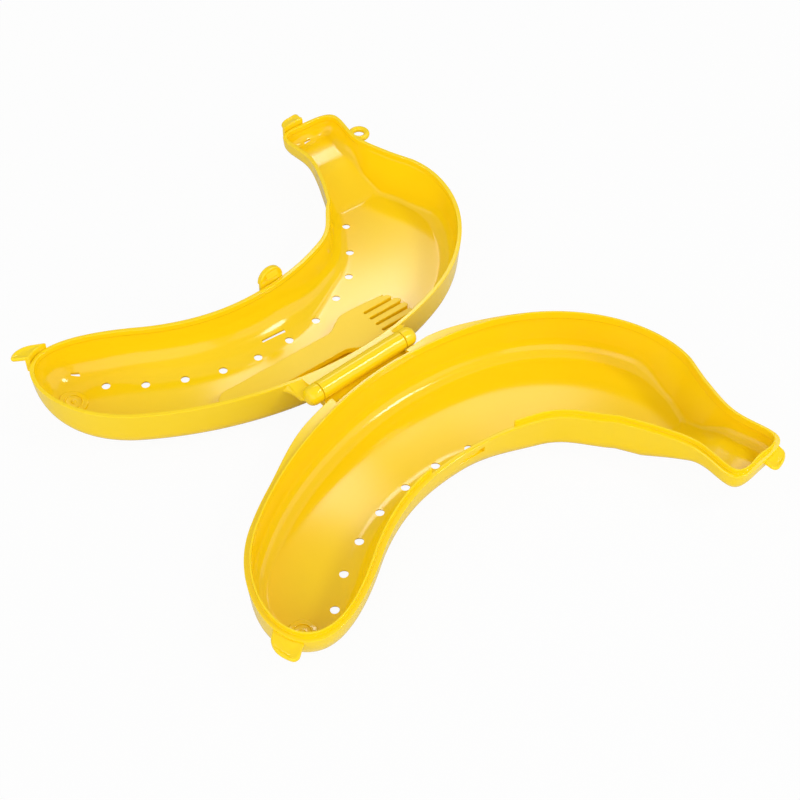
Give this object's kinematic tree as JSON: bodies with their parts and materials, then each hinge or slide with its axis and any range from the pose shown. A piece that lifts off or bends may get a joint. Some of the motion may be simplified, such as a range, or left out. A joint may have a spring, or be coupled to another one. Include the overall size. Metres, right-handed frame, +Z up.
{
  "type": "banana carrying case",
  "caption": "Hard glossy yellow clamshell case shaped to hold a banana, lying open, with vents, snap latches, a hanging ring and a flat fork stowed in the lid.",
  "frame": {"origin": "on the tray's outer floor, under the spine of the bow at the middle of the belly", "axes": "+X along the hinge axis from the tip towards the stem, +Y across the hinge from the tray to the open lid, +Z up"},
  "size_m": [0.2148, 0.2909, 0.0283],
  "materials": {
    "case": "glossy moulded",
    "fork": "glossy moulded"
  },
  "bodies": {
    "tray": {"tray": "case"},
    "lid": {"lid": "case", "hanging_ring": "case"},
    "fork": {"fork": "fork"}
  },
  "joints": [
    {"name": "lid_hinge", "type": "hinge", "parent": "tray", "child": "lid", "pos_m": [-0.0024, 0.0343, 0.0215], "axis": [1, 0, 0], "range_deg": [0, 180]},
    {"name": "fork_lift", "type": "slide", "parent": "lid", "child": "fork", "axis": [0, 0, 1], "range_m": [0, 0.03]}
  ]
}
